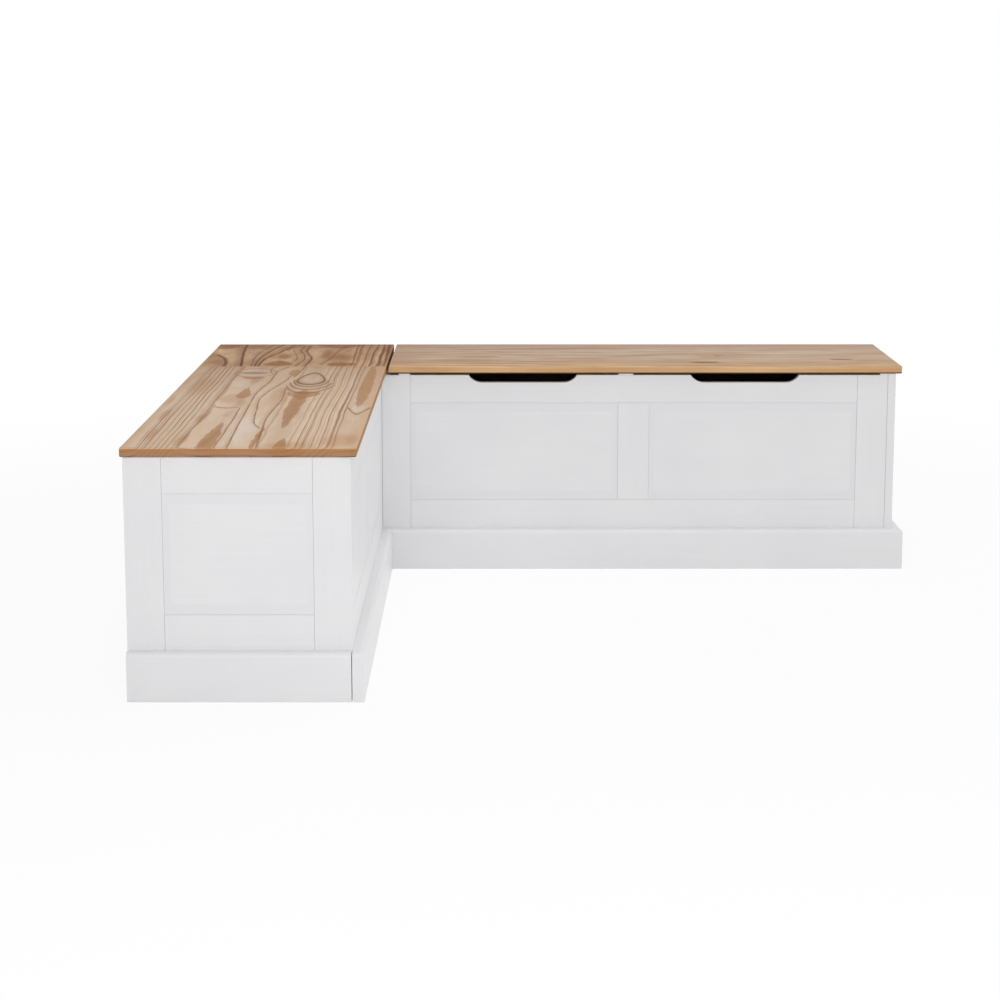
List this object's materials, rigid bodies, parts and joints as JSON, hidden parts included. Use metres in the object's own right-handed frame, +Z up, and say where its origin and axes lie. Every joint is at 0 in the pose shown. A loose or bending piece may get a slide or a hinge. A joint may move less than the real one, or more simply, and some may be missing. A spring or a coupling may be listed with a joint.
{
  "type": "corner storage bench",
  "caption": "L-shaped corner bench in white painted wood with pine seats: each hinged seat lid opens on a storage chest, and a fixed square top fills the corner.",
  "frame": {"origin": "on the floor, under the middle of the bench's square plan", "axes": "+Z up; the room's corner lies at -X +Y; the right chest has its back to +Y and the left chest has its back to -X"},
  "size_m": [1.6138, 1.6138, 0.47],
  "materials": {
    "white_paint": "satin white paint on pine",
    "pine_seat": "satin waxed pine",
    "storage_floor": "matt white board",
    "zinc_hardware": "zinc plated"
  },
  "bodies": {
    "carcass": {"corner_cross_rail": "white_paint", "corner_side_board": "white_paint", "corner_top": "pine_seat", "corner_wall_board": "white_paint", "left_back_board": "white_paint", "left_end_bottom_rail": "white_paint", "left_end_front_stile": "white_paint", "left_end_panel": "white_paint", "left_end_rear_stile": "white_paint", "left_end_skirting": "white_paint", "left_end_top_rail": "white_paint", "left_floor": "storage_floor", "left_front_bottom_rail": "white_paint", "left_front_inner_panel": "white_paint", "left_front_inner_stile": "white_paint", "left_front_mullion": "white_paint", "left_front_outer_panel": "white_paint", "left_front_outer_stile": "white_paint", "left_front_skirting": "white_paint", "left_front_top_rail": "white_paint", "left_hinge_a_fixed_leaf": "zinc_hardware", "left_hinge_a_pin": "zinc_hardware", "left_hinge_b_fixed_leaf": "zinc_hardware", "left_hinge_b_pin": "zinc_hardware", "left_lid_rest": "white_paint", "left_stay_rail_plate": "zinc_hardware", "right_back_board": "white_paint", "right_end_bottom_rail": "white_paint", "right_end_front_stile": "white_paint", "right_end_panel": "white_paint", "right_end_rear_stile": "white_paint", "right_end_skirting": "white_paint", "right_end_top_rail": "white_paint", "right_floor": "storage_floor", "right_front_bottom_rail": "white_paint", "right_front_inner_panel": "white_paint", "right_front_inner_stile": "white_paint", "right_front_mullion": "white_paint", "right_front_outer_panel": "white_paint", "right_front_outer_stile": "white_paint", "right_front_skirting": "white_paint", "right_front_top_rail": "white_paint", "right_hinge_a_fixed_leaf": "zinc_hardware", "right_hinge_a_pin": "zinc_hardware", "right_hinge_b_fixed_leaf": "zinc_hardware", "right_hinge_b_pin": "zinc_hardware", "right_inner_end_board": "white_paint", "right_lid_rest": "white_paint", "right_stay_rail_plate": "zinc_hardware"},
    "left_lid": {"left_lid": "pine_seat", "left_hinge_a_moving_leaf": "zinc_hardware", "left_hinge_b_moving_leaf": "zinc_hardware", "left_stay_lid_bracket": "zinc_hardware"},
    "left_stay_arm": {"left_stay_arm": "zinc_hardware"},
    "right_lid": {"right_lid": "pine_seat", "right_hinge_a_moving_leaf": "zinc_hardware", "right_hinge_b_moving_leaf": "zinc_hardware", "right_stay_lid_bracket": "zinc_hardware"},
    "right_stay_arm": {"right_stay_arm": "zinc_hardware"}
  },
  "joints": [
    {"name": "right_lid_hinge", "type": "hinge", "parent": "carcass", "child": "right_lid", "pos_m": [0.2111, 0.8039, 0.452], "axis": [-1, 0, 0], "range_deg": [0, 95]},
    {"name": "left_lid_hinge", "type": "hinge", "parent": "carcass", "child": "left_lid", "pos_m": [-0.8039, -0.2111, 0.452], "axis": [0, -1, 0], "range_deg": [0, 95]},
    {"name": "right_stay_pivot", "type": "hinge", "parent": "right_lid", "child": "right_stay_arm", "pos_m": [0.7628, 0.64435, 0.44], "axis": [-1, 0, 0], "range_deg": [-47.5, 0]},
    {"name": "left_stay_pivot", "type": "hinge", "parent": "left_lid", "child": "left_stay_arm", "pos_m": [-0.64435, -0.7628, 0.44], "axis": [0, -1, 0], "range_deg": [-47.5, 0]}
  ],
  "couplings": [
    {"joint": "right_stay_pivot", "follows": "right_lid_hinge", "ratio": -0.5},
    {"joint": "left_stay_pivot", "follows": "left_lid_hinge", "ratio": -0.5}
  ]
}
